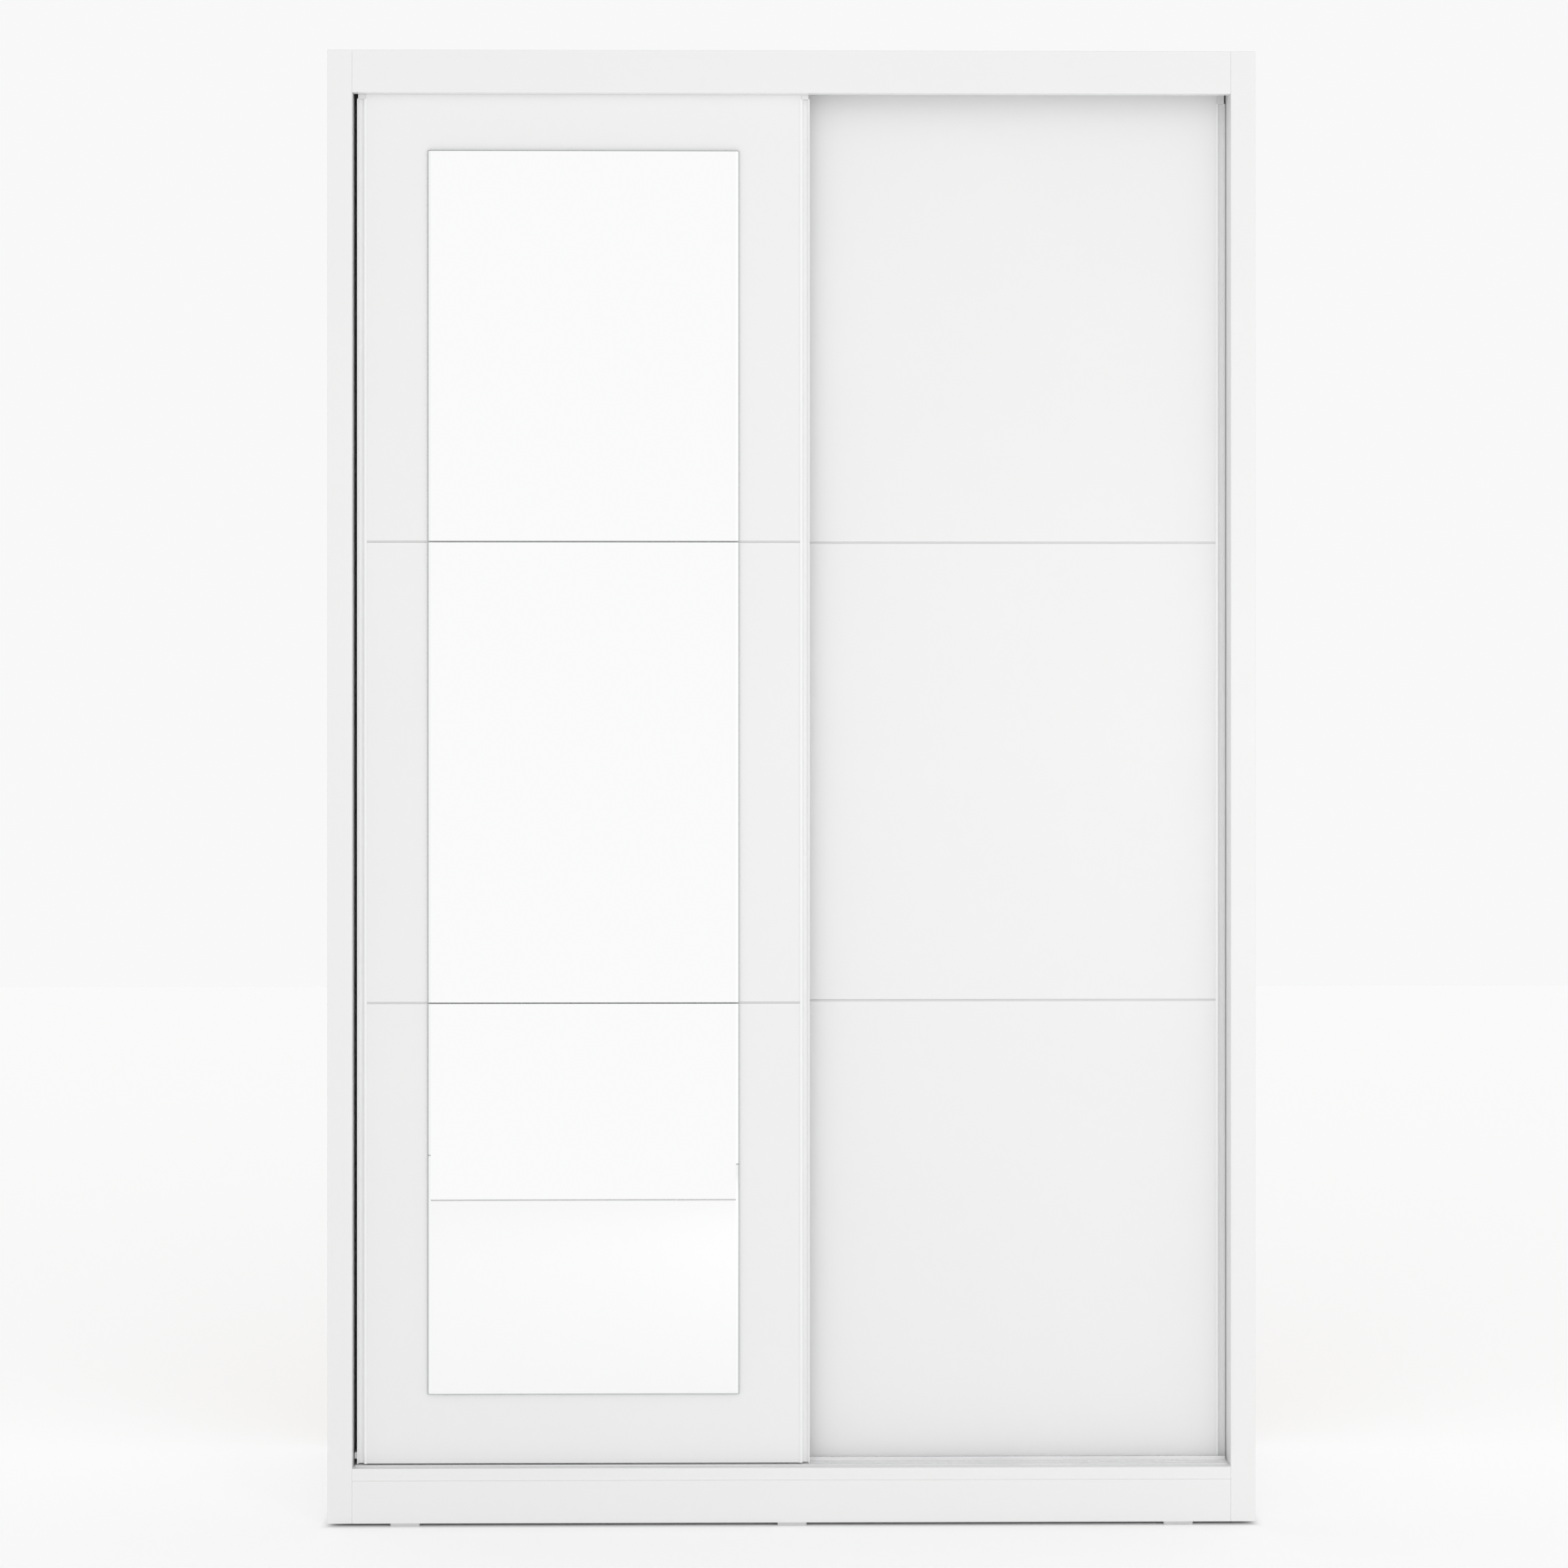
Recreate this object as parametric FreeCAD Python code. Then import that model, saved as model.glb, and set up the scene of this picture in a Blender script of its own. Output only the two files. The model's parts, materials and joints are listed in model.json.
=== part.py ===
import FreeCAD, Part
import os

# Sliding door wardrobe, in millimetres.
# The origin is at the bottom centre, +Z is up and the front faces -Y.
# A "depth" is a distance back from the front plane of the frame.

# ---- Driving sizes: carcass ------------------------------------------------
WIDTH = 1200.0            # over the side panels
HEIGHT = 1907.0           # floor to top
DEPTH = 500.0             # front plane to the heads of the back nails
BOARD = 16.0              # melamine board
EDGE_R = 0.8              # rounding of every board's edges
BACK_BOARD = 3.0          # hardboard back
GLIDE = 4.0               # height of the furniture glides
STILE = 32.0              # width of a front stile
FASCIA = 55.0             # height of the top fascia
PLINTH = 55.0             # height of the plinth boards
JAMB_MARGIN = 6.0         # door jambs run this far behind the bottom track
INSIDE_GAP = 3.0          # jambs to the front edges of divider and shelves
BACK_REVEAL = 1.0         # back panels stop short of the outline
BACK_GAP = 1.0            # between the two back panels

# ---- Driving sizes: doors --------------------------------------------------
DOOR_BOARD = 16.0
DOOR_CLEARANCE = 1.0      # fascia to the front door's face
LANE_GAP = 0.8            # front door's running gear to the rear door's handles
DOOR_OVERLAP = 42.0
TRACK_CLEARANCE = 1.8     # door bottom above the bottom track
CLOSED_GAP = 1.0          # a closed door, or its bumper, to the jamb
BOARD_NAMES = ("lower", "middle", "upper")
JOINT_GAP = 2.0           # joining strip that shows between door boards
TONGUE = 3.0              # thickness of its tongues
TONGUE_REACH = 8.0
GROOVE_EASE = 0.1

HANDLE = 12.5             # width of the finger-pull profile that shows
HANDLE_WALL = 1.2
HANDLE_LIP = 2.0          # lip over the board's face
HANDLE_FLANGE = 16.0      # flange on the board's back
FINGER_STRAIGHT = 2.5     # straight sides before the groove's round bottom
HANDLE_DROP = 6.0         # profile ends this far below the fascia

MIRROR = 4.0              # glass thickness
MIRROR_MARGIN = 90.0      # glass to the door's top and bottom
MIRROR_SIDE = 91.5        # glass to the door's side edges
MIRROR_BEVEL = 4.0
MIRROR_BEVEL_DEPTH = 1.2
MIRROR_GAP = 2.0          # between panes

# ---- Driving sizes: running gear -------------------------------------------
TRACK = 1.2               # base of the bottom track
TRACK_LEAD = 2.0          # its front edge before the front door's face
TRACK_MARGIN = 10.2       # its back edge behind the rear rail's centre
TRACK_GAP = 2.5           # at each end
RAIL = 3.0                # width of a raised rail
RAIL_CROWN_R = 1.2
FLANGE_CLEARANCE = 2.5    # wheel flange above the track's base
WHEEL_GROOVE_R = 10.0
WHEEL_FLANGE = 2.5        # height of its flanges over the groove
WHEEL_WIDTH = 8.0
WHEEL_RIM = 1.0            # flat on each flange
WHEEL_HUB_R = 6.0
WHEEL_HUB = 0.8           # hub stands proud on each side
RUN_GAP = 0.3             # between groove and rail
AXLE_R = 3.0
AXLE_EASE = 0.05          # running clearance in the wheel
AXLE_HEAD_R = 4.6
AXLE_HEAD = 1.4
AXLE_HEAD_TOP_R = 3.7
CARRIAGE_GAP = 7.5        # handle flange to carriage
CARRIAGE_WIDTH = 60.0
CARRIAGE_FOOT = 6.0       # its bottom above the door's bottom
CARRIAGE_TAB = 31.0       # screwed part above the wheel's bridge
CARRIAGE_SHEET = 1.6
WHEEL_SIDE_GAP = 1.4      # hub to the sheet on each side
WHEEL_END_GAP = 1.5       # flange to the cheek's upright edges
WHEEL_TOP_GAP = 5.0       # flange to the bridge

TOP_TRACK_WALL = 1.5
TOP_TRACK_LEG = 16.0
GUIDE = 10.0              # thickness of a top guide's tongue
GUIDE_ROUND = 0.45        # radius of its ends, as a share of its thickness
GUIDE_EASE = 1.0          # each side in the channel
GUIDE_PLATE = 3.0
GUIDE_CLEARANCE = 1.5     # plate below the track's legs
LIFT_OFF = 6.5            # room over a guide, to lift the door off its rail
GUIDE_LENGTH = 36.0
GUIDE_STEP = 1.3          # corner block stops short of the profile's face
GUIDE_PLUG = 20.0
PLUG_EASE = 0.3
WELL_EASE = 0.4           # round the head of the guide's screw

# ---- Driving sizes: inside -------------------------------------------------
SHELF_NAMES = ("lower_shelf", "fixed_shelf", "upper_shelf")
HAT_SHELF_ABOVE = 300.0   # clear height over the hat shelf
RAIL_TUBE_R = 12.5
RAIL_TUBE_WALL = 1.2
RAIL_TUBE_DROP = 55.0     # tube centre below the hat shelf
SOCKET_R = 22.0
SOCKET_PLATE = 3.0
SOCKET_CUP = 12.0
SOCKET_WALL = 2.5
SOCKET_EASE = 0.2
SHELF_GAP = 1.0           # loose shelf to the boards beside it
SHELF_SETBACK = 5.0       # loose shelf to the back
PIN_R = 2.5
PIN_DEEP = 9.0
PIN_OUT = 8.0
PIN_FROM_EDGE = 45.0
PIN_PITCH = 32.0          # spare holes above and below each pin

BRACKET = 36.0            # leg of a wall bracket
BRACKET_WIDTH = 30.0
BRACKET_SHEET = 2.0
BRACKET_FROM_SIDE = 150.0
BRACKET_SCREWS = (0.38, 0.72)     # places from its bend, as shares of a leg
WALL_HOLE_R = 3.0
WALL_HOLE_AT = 0.6        # place from the bend, as a share of a leg

# ---- Driving sizes: fastenings ---------------------------------------------
HOLE_EASE = 0.05          # hole radius over a fastener's
CAP_R = 6.0
CAP = 1.0
CONFIRMAT_HEAD_R = 5.0
CONFIRMAT_HEAD = 4.0
CONFIRMAT_R = 3.4
CONFIRMAT_LENGTH = 46.0
DOWEL_R = 4.0
DOWEL_COVER = 2.0         # board left over a dowel's end
DOWEL_MARGIN = 14.0       # dowel to the edge of a narrow board
SCREW_HEAD_R = 3.4
SCREW_HEAD_TOP_R = 2.4
SCREW_HEAD = 1.6
SCREW_R = 1.6
SCREW_LENGTH = 11.0
TRACK_SCREWS = 5
HANDLE_SCREWS = 5
CARRIAGE_SCREWS = 3
NAIL_HEAD_R = 2.2
NAIL_HEAD = 0.6
NAIL_R = 0.8
NAIL_LENGTH = 16.0
NAIL_PITCH = 230.0
JOINT_MARGIN = 60.0       # outer connecting screws to the board's edges
TRACK_SCREW_MARGIN = 60.0

GLIDE_WIDTH = 38.0
GLIDE_INSET = 100.0       # centre of an end glide from the side
GLIDE_MARGIN = 1.0
GLIDE_CORNER_R = 2.0
BEARERS = 2
BUMPER = 4.0
BUMPER_HEIGHT = 8.0
BUMPER_WIDTH = 10.0
BUMPER_LIFT = 6.0         # above the door's bottom
BUMPER_CORNER_R = 1.6

# ---- Places that follow from them ------------------------------------------
FRONT = -DEPTH / 2
SIDE = WIDTH / 2                              # outer face of a side panel
SIDE_IN = SIDE - BOARD
OPENING = SIDE - STILE                        # half the door opening
BACK = DEPTH - NAIL_HEAD                      # back face of the back panels
CARCASS_BACK = BACK - BACK_BOARD
PLINTH_TOP = GLIDE + PLINTH
FLOOR = PLINTH_TOP + BOARD                    # top of the bottom board
CEILING = HEIGHT - BOARD                      # underside of the top board
DIVIDER = BOARD / 2                           # half its thickness

WHEEL_R = WHEEL_GROOVE_R + WHEEL_FLANGE
WHEEL_HALF = WHEEL_WIDTH / 2 + WHEEL_HUB
RAIL_BEHIND = CARRIAGE_SHEET + WHEEL_SIDE_GAP + WHEEL_HALF    # rail centre behind a door board
CHEEK_BEHIND = RAIL_BEHIND + WHEEL_HALF + WHEEL_SIDE_GAP
GEAR_BEHIND = CHEEK_BEHIND + CARRIAGE_SHEET + AXLE_HEAD
CARRIAGE_INSET = HANDLE + HANDLE_FLANGE + CARRIAGE_GAP + CARRIAGE_WIDTH / 2

FRONT_DOOR_DEPTH = BOARD + DOOR_CLEARANCE     # face of the front door's boards
REAR_DOOR_DEPTH = FRONT_DOOR_DEPTH + DOOR_BOARD + GEAR_BEHIND + LANE_GAP + HANDLE_WALL
DOOR_WIDTH = (2 * OPENING - BUMPER - 2 * CLOSED_GAP + DOOR_OVERLAP) / 2
FRONT_DOOR_X = -OPENING + CLOSED_GAP + BUMPER
REAR_DOOR_X = OPENING - CLOSED_GAP - DOOR_WIDTH
DOOR_EDGE = HANDLE - HANDLE_LIP               # board edge inside the door's edge

TRACK_FRONT = FRONT_DOOR_DEPTH - TRACK_LEAD
TRACK_BACK = REAR_DOOR_DEPTH + DOOR_BOARD + RAIL_BEHIND + TRACK_MARGIN
JAMB_DEPTH = TRACK_BACK + JAMB_MARGIN
INSIDE_DEPTH = JAMB_DEPTH + INSIDE_GAP        # front edges of divider and shelves
TRACK_TOP = FLOOR + TRACK
RAIL_TOP = TRACK_TOP + FLANGE_CLEARANCE + WHEEL_FLANGE
AXLE_Z = RAIL_TOP + RUN_GAP + WHEEL_GROOVE_R
BRIDGE_Z = AXLE_Z + WHEEL_R + WHEEL_TOP_GAP
CARRIAGE_TOP = BRIDGE_Z + CARRIAGE_TAB + CARRIAGE_SHEET

DOOR_BOTTOM = TRACK_TOP + TRACK_CLEARANCE
DOOR_TOP = CEILING - TOP_TRACK_WALL - TOP_TRACK_LEG - GUIDE_CLEARANCE - GUIDE_PLATE
BOARD_COUNT = len(BOARD_NAMES)
BOARD_HEIGHT = (DOOR_TOP - DOOR_BOTTOM - (BOARD_COUNT - 1) * JOINT_GAP) / BOARD_COUNT
HANDLE_TOP = HEIGHT - FASCIA - HANDLE_DROP
GUIDE_TONGUE = TOP_TRACK_LEG + GUIDE_CLEARANCE - LIFT_OFF
GUIDE_CENTRE = DOOR_BOARD / 2                 # depth of a guide behind its door's face
CHANNEL = GUIDE / 2 + GUIDE_EASE              # half width of a channel
TOP_TRACK_BASE = CEILING - TOP_TRACK_WALL
HAT_SHELF = CEILING - HAT_SHELF_ABOVE - BOARD
FINGER_IN = HANDLE_LIP + HANDLE_WALL
FINGER_OUT = HANDLE - HANDLE_WALL
FINGER_R = (FINGER_OUT - FINGER_IN) / 2
FINGER_DEEP = FINGER_STRAIGHT + FINGER_R - HANDLE_WALL
DOWEL_LENGTH = 2 * (BOARD - DOWEL_COVER)

UP = FreeCAD.Vector(0, 0, 1)
DOWN = FreeCAD.Vector(0, 0, -1)
RIGHT = FreeCAD.Vector(1, 0, 0)
LEFT = FreeCAD.Vector(-1, 0, 0)
TO_BACK = FreeCAD.Vector(0, 1, 0)
TO_FRONT = FreeCAD.Vector(0, -1, 0)


# ---- Helpers ---------------------------------------------------------------
def point(x, depth, z):
    return FreeCAD.Vector(x, FRONT + depth, z)


def slab(x0, x1, depth0, depth1, z0, z1):
    return Part.makeBox(x1 - x0, depth1 - depth0, z1 - z0, point(x0, depth0, z0))


def board(*limits):
    """A slab with its edges rounded, as edge banding leaves them."""
    piece = slab(*limits)
    return piece.makeFillet(EDGE_R, piece.Edges)


def stepped(foot, direction, steps, ease=0.0):
    """A turned piece: each step is (start, end, radius, end radius) along its axis."""
    piece = None
    for start, end, radius, end_radius in steps:
        at = foot + direction * start
        if radius == end_radius:
            step = Part.makeCylinder(radius + ease, end - start, at, direction)
        else:
            step = Part.makeCone(radius + ease, end_radius + ease, end - start, at, direction)
        piece = step if piece is None else piece.fuse(step)
    return piece.removeSplitter()


class Fastener:
    """One fastener's solid and the slightly wider hole that takes it."""

    def __init__(self, foot, direction, steps):
        self.solid = stepped(foot, direction, steps)
        self.hole = stepped(foot, direction, steps, HOLE_EASE)


def screw(foot, direction, length=SCREW_LENGTH):
    """A pan-head screw whose head sits on the surface at foot."""
    return Fastener(foot, direction, [
        (-SCREW_HEAD, -SCREW_HEAD / 2, SCREW_HEAD_TOP_R, SCREW_HEAD_R),
        (-SCREW_HEAD / 2, 0, SCREW_HEAD_R, SCREW_HEAD_R),
        (0, length, SCREW_R, SCREW_R),
    ])


def flush_screw(foot, direction):
    """A countersunk screw, level with the surface at foot."""
    return Fastener(foot, direction, [
        (0, SCREW_HEAD, SCREW_HEAD_R, SCREW_R),
        (SCREW_HEAD, SCREW_HEAD + SCREW_LENGTH, SCREW_R, SCREW_R),
    ])


def confirmat(foot, direction):
    """A connecting screw sunk below its cover cap; foot is on the outer face."""
    under = CAP + CONFIRMAT_HEAD
    return Fastener(foot, direction, [
        (CAP, under, CONFIRMAT_HEAD_R, CONFIRMAT_HEAD_R),
        (under, under + CONFIRMAT_LENGTH, CONFIRMAT_R, CONFIRMAT_R),
    ])


def cap(foot, direction):
    return Fastener(foot, direction, [(0, CAP, CAP_R, CAP_R)])


def dowel(middle, direction):
    return Fastener(middle, direction, [(-DOWEL_LENGTH / 2, DOWEL_LENGTH / 2, DOWEL_R, DOWEL_R)])


def shelf_pin(foot, direction):
    """A pin half sunk in a board at foot, its free end under the shelf."""
    return Fastener(foot, direction, [(-PIN_OUT, PIN_DEEP, PIN_R, PIN_R)])


def nail(foot):
    """A back nail driven forwards, its head on the back face."""
    return Fastener(foot, TO_FRONT, [
        (-NAIL_HEAD, 0, NAIL_HEAD_R, NAIL_HEAD_R),
        (0, NAIL_LENGTH, NAIL_R, NAIL_R),
    ])


def bored(piece, *groups):
    """The piece with a hole for every fastener that reaches it."""
    for group in groups:
        for fastener in group:
            if piece.BoundBox.intersect(fastener.hole.BoundBox):
                piece = piece.cut(fastener.hole)
    return piece


def solids(group):
    return Part.makeCompound([fastener.solid for fastener in group])


def spread(first, last, count):
    """Evenly spaced values from first to last."""
    if count == 1:
        return [(first + last) / 2]
    return [first + (last - first) * k / (count - 1) for k in range(count)]


def save(name, shape):
    shape.exportStep("parts/" + name + ".step")


# ---- Fastenings of the carcass ---------------------------------------------
INNER_DEPTHS = spread(INSIDE_DEPTH + JOINT_MARGIN, CARCASS_BACK - JOINT_MARGIN, 3)


def shelf_levels():
    """Name and underside of each right-hand shelf, from the bottom."""
    count = len(SHELF_NAMES)
    bay = (CEILING - FLOOR - count * BOARD) / (count + 1)
    return {name: FLOOR + bay + k * (bay + BOARD) for k, name in enumerate(SHELF_NAMES)}


SHELVES = shelf_levels()
FIXED_SHELF = SHELVES["fixed_shelf"]


def through_sides():
    """Places on the outer faces where connecting screws and their caps go."""
    middle = BOARD / 2
    places = []
    for depth in INNER_DEPTHS:
        for z in (PLINTH_TOP + middle, CEILING + middle):
            places.append((point(-SIDE, depth, z), RIGHT))
            places.append((point(SIDE, depth, z), LEFT))
        places.append((point(-SIDE, depth, HAT_SHELF + middle), RIGHT))
        places.append((point(SIDE, depth, FIXED_SHELF + middle), LEFT))
    plinth_z = GLIDE + PLINTH / 2
    places.append((point(-SIDE, CARCASS_BACK - middle, plinth_z), RIGHT))
    places.append((point(SIDE, CARCASS_BACK - middle, plinth_z), LEFT))
    return places


def frame_dowels():
    """Dowels of the front frame, the divider and the shelves that it carries."""
    group = []
    middle = BOARD / 2
    for side, direction in ((-1, LEFT), (1, RIGHT)):
        for low, high in ((HEIGHT - FASCIA, HEIGHT), (GLIDE, PLINTH_TOP)):
            for z in (low + DOWEL_MARGIN, high - DOWEL_MARGIN):
                group.append(dowel(point(side * OPENING, middle, z), direction))
    for depth in (INNER_DEPTHS[0], INNER_DEPTHS[-1]):
        group.append(dowel(point(0, depth, FLOOR), UP))
        group.append(dowel(point(0, depth, CEILING), UP))
        group.append(dowel(point(-DIVIDER, depth, HAT_SHELF + middle), RIGHT))
        group.append(dowel(point(DIVIDER, depth, FIXED_SHELF + middle), RIGHT))
    return group


def pin_places():
    """(depth, z) of the pins under each loose shelf."""
    front = INSIDE_DEPTH + PIN_FROM_EDGE
    back = CARCASS_BACK - SHELF_SETBACK - PIN_FROM_EDGE
    places = []
    for level in SHELVES.values():
        if level != FIXED_SHELF:
            places += [(front, level - PIN_R), (back, level - PIN_R)]
    return places


def pins(z_shift=0.0):
    group = []
    for depth, z in pin_places():
        group.append(shelf_pin(point(DIVIDER, depth, z + z_shift), LEFT))
        group.append(shelf_pin(point(SIDE_IN, depth, z + z_shift), RIGHT))
    return group


def back_nails():
    """Nails round the edge of both back panels and down the divider."""
    edge = SIDE - BOARD / 2
    low = PLINTH_TOP + BOARD / 2
    high = CEILING + BOARD / 2
    rows = max(2, round((high - low) / NAIL_PITCH) + 1)
    columns = max(2, round(edge / NAIL_PITCH) + 1)
    near = DIVIDER / 2
    group = []
    for z in spread(low, high, rows):
        for x in (-edge, -near, near, edge):
            group.append(nail(point(x, BACK, z)))
    for x in spread(near, edge, columns)[1:-1]:
        for z in (low, high):
            group.append(nail(point(x, BACK, z)))
            group.append(nail(point(-x, BACK, z)))
    return group


CAP_GROUP = [cap(foot, direction) for foot, direction in through_sides()]
CONFIRMATS = [confirmat(foot, direction) for foot, direction in through_sides()]
DOWELS = frame_dowels()
PINS = pins()
SPARE_PIN_HOLES = pins(PIN_PITCH) + pins(-PIN_PITCH)
NAILS = back_nails()


# ---- Fittings screwed to the carcass ---------------------------------------
def track_screws():
    """Screws of both tracks, between the two lanes."""
    between = (FRONT_DOOR_DEPTH + REAR_DOOR_DEPTH) / 2
    low_depth = between + DOOR_BOARD + RAIL_BEHIND
    high_depth = between + GUIDE_CENTRE
    group = []
    for x in spread(-OPENING + TRACK_SCREW_MARGIN, OPENING - TRACK_SCREW_MARGIN, TRACK_SCREWS):
        group.append(flush_screw(point(x, low_depth, TRACK_TOP), DOWN))
        group.append(screw(point(x, high_depth, TOP_TRACK_BASE), UP))
    return group


def bracket_screws():
    group = []
    for side in (-1, 1):
        x = side * (SIDE_IN - BRACKET_FROM_SIDE)
        for share in BRACKET_SCREWS:
            at = point(x, CARCASS_BACK - BRACKET * share, CEILING - BRACKET_SHEET)
            group.append(screw(at, UP))
    return group


RAIL_DEPTH = (INSIDE_DEPTH + CARCASS_BACK) / 2
RAIL_Z = HAT_SHELF - RAIL_TUBE_DROP


def socket_screws():
    group = []
    arm = (SOCKET_R + RAIL_TUBE_R + SOCKET_EASE + SOCKET_WALL) / 2
    for x, direction in ((-SIDE_IN, LEFT), (-DIVIDER, RIGHT)):
        for sign in (-1, 1):
            face = point(x, RAIL_DEPTH, RAIL_Z + sign * arm) - direction * SOCKET_PLATE
            group.append(screw(face, direction))
    return group


FITTING_SCREWS = track_screws() + bracket_screws() + socket_screws()


def wall_hole(side):
    """The hole for a wall fixing, through a bracket and the back panel."""
    x = side * (SIDE_IN - BRACKET_FROM_SIDE)
    start = CARCASS_BACK - BRACKET
    z = CEILING - BRACKET * WALL_HOLE_AT
    return Part.makeCylinder(WALL_HOLE_R, DEPTH - start, point(x, start, z), TO_BACK)


WALL_HOLES = wall_hole(-1).fuse(wall_hole(1))


# ---- Carcass boards --------------------------------------------------------
def save_sides():
    for name, side in (("side_panel_left", -1), ("side_panel_right", 1)):
        x0, x1 = sorted((side * SIDE, side * SIDE_IN))
        panel = board(x0, x1, BOARD, CARCASS_BACK, GLIDE, HEIGHT)
        save(name, bored(panel, CAP_GROUP, CONFIRMATS, PINS, SPARE_PIN_HOLES, NAILS, FITTING_SCREWS))


def save_top_and_bottom():
    top = board(-SIDE_IN, SIDE_IN, BOARD, CARCASS_BACK, CEILING, HEIGHT)
    save("top_panel", bored(top, CONFIRMATS, DOWELS, NAILS, FITTING_SCREWS))
    bottom = slab(-SIDE_IN, SIDE_IN, BOARD, CARCASS_BACK, PLINTH_TOP, FLOOR)
    bottom = bottom.fuse(slab(-OPENING, OPENING, 0, BOARD, PLINTH_TOP, FLOOR)).removeSplitter()
    front = [edge for edge in bottom.Edges
             if edge.BoundBox.XLength > OPENING and edge.BoundBox.YMax < FRONT + EDGE_R]
    bottom = bottom.makeFillet(EDGE_R, front)
    save("bottom_panel", bored(bottom, CONFIRMATS, DOWELS, NAILS, FITTING_SCREWS))


def save_divider():
    divider = board(-DIVIDER, DIVIDER, INSIDE_DEPTH, CARCASS_BACK, FLOOR, CEILING)
    save("centre_divider", bored(divider, DOWELS, PINS, SPARE_PIN_HOLES, NAILS, FITTING_SCREWS))


def save_front_frame():
    """Stiles and jambs at each side, fascia above and plinth below."""
    for word, side in (("left", -1), ("right", 1)):
        x0, x1 = sorted((side * SIDE, side * OPENING))
        save("front_stile_" + word, bored(board(x0, x1, 0, BOARD, GLIDE, HEIGHT), DOWELS))
        x0, x1 = sorted((side * SIDE_IN, side * OPENING))
        save("door_jamb_" + word, board(x0, x1, BOARD, JAMB_DEPTH, FLOOR, CEILING))
    fascia = board(-OPENING, OPENING, 0, BOARD, HEIGHT - FASCIA, HEIGHT)
    save("top_fascia", bored(fascia, DOWELS))
    plinth = board(-OPENING, OPENING, 0, BOARD, GLIDE, PLINTH_TOP)
    save("front_plinth", bored(plinth, DOWELS))


def save_base():
    """Rear plinth, bearers between the plinths, and the glides under them."""
    rear = board(-SIDE_IN, SIDE_IN, CARCASS_BACK - BOARD, CARCASS_BACK, GLIDE, PLINTH_TOP)
    save("rear_plinth", bored(rear, CONFIRMATS))
    bearers = []
    for x in spread(-OPENING, OPENING, BEARERS + 2)[1:-1]:
        bearers.append(board(x - BOARD / 2, x + BOARD / 2, BOARD, CARCASS_BACK - BOARD, GLIDE, PLINTH_TOP))
    save("plinth_bearers", Part.makeCompound(bearers))
    glides = []
    for depth in (0, CARCASS_BACK - BOARD):
        for x in spread(-SIDE + GLIDE_INSET, SIDE - GLIDE_INSET, 3):
            glide = slab(x - GLIDE_WIDTH / 2, x + GLIDE_WIDTH / 2, depth + GLIDE_MARGIN,
                         depth + BOARD - GLIDE_MARGIN, 0, GLIDE)
            upright = [edge for edge in glide.Edges if edge.BoundBox.ZLength > GLIDE / 2]
            glides.append(glide.makeFillet(GLIDE_CORNER_R, upright))
    save("foot_glides", Part.makeCompound(glides))


def save_back():
    for name, x0, x1 in (("back_panel_left", -SIDE + BACK_REVEAL, -BACK_GAP / 2),
                         ("back_panel_right", BACK_GAP / 2, SIDE - BACK_REVEAL)):
        panel = slab(x0, x1, CARCASS_BACK, BACK, GLIDE + BACK_REVEAL, HEIGHT - BACK_REVEAL)
        save(name, bored(panel.cut(WALL_HOLES), NAILS))
    save("back_nails", solids(NAILS))


# ---- Inside ----------------------------------------------------------------
def save_shelves():
    hat = board(-SIDE_IN, -DIVIDER, INSIDE_DEPTH, CARCASS_BACK, HAT_SHELF, HAT_SHELF + BOARD)
    save("hat_shelf", bored(hat, CONFIRMATS, DOWELS))
    for name, level in SHELVES.items():
        if level == FIXED_SHELF:
            shelf = board(DIVIDER, SIDE_IN, INSIDE_DEPTH, CARCASS_BACK, level, level + BOARD)
            shelf = bored(shelf, CONFIRMATS, DOWELS)
        else:
            shelf = board(DIVIDER + SHELF_GAP, SIDE_IN - SHELF_GAP, INSIDE_DEPTH,
                          CARCASS_BACK - SHELF_SETBACK, level, level + BOARD)
        save(name, shelf)
    save("shelf_pins", solids(PINS))


def rail_socket(x, direction):
    """A flanged cup on the board at x; direction points into the board."""
    foot = point(x, RAIL_DEPTH, RAIL_Z)
    reach = RAIL_TUBE_R + SOCKET_EASE
    cup = Part.makeCylinder(SOCKET_R, SOCKET_PLATE, foot, -direction)
    cup = cup.fuse(Part.makeCylinder(reach + SOCKET_WALL, SOCKET_PLATE + SOCKET_CUP, foot, -direction))
    cup = cup.cut(Part.makeCylinder(reach, SOCKET_CUP, foot - direction * SOCKET_PLATE, -direction))
    return bored(cup.removeSplitter(), FITTING_SCREWS)


def save_hanging_rail():
    start = -SIDE_IN + SOCKET_PLATE
    length = -DIVIDER - SOCKET_PLATE - start
    foot = point(start, RAIL_DEPTH, RAIL_Z)
    tube = Part.makeCylinder(RAIL_TUBE_R, length, foot, RIGHT)
    tube = tube.cut(Part.makeCylinder(RAIL_TUBE_R - RAIL_TUBE_WALL, length, foot, RIGHT))
    save("hanging_rail", tube)
    sockets = [rail_socket(-SIDE_IN, LEFT), rail_socket(-DIVIDER, RIGHT)]
    save("rail_sockets", Part.makeCompound(sockets))


def wall_bracket(side):
    """An angle under the top board, its upright leg on the back panel."""
    x = side * (SIDE_IN - BRACKET_FROM_SIDE)
    x0 = x - BRACKET_WIDTH / 2
    x1 = x + BRACKET_WIDTH / 2
    flat = slab(x0, x1, CARCASS_BACK - BRACKET, CARCASS_BACK, CEILING - BRACKET_SHEET, CEILING)
    upright = slab(x0, x1, CARCASS_BACK - BRACKET_SHEET, CARCASS_BACK, CEILING - BRACKET, CEILING)
    return bored(flat.fuse(upright).removeSplitter().cut(WALL_HOLES), FITTING_SCREWS)


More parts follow.
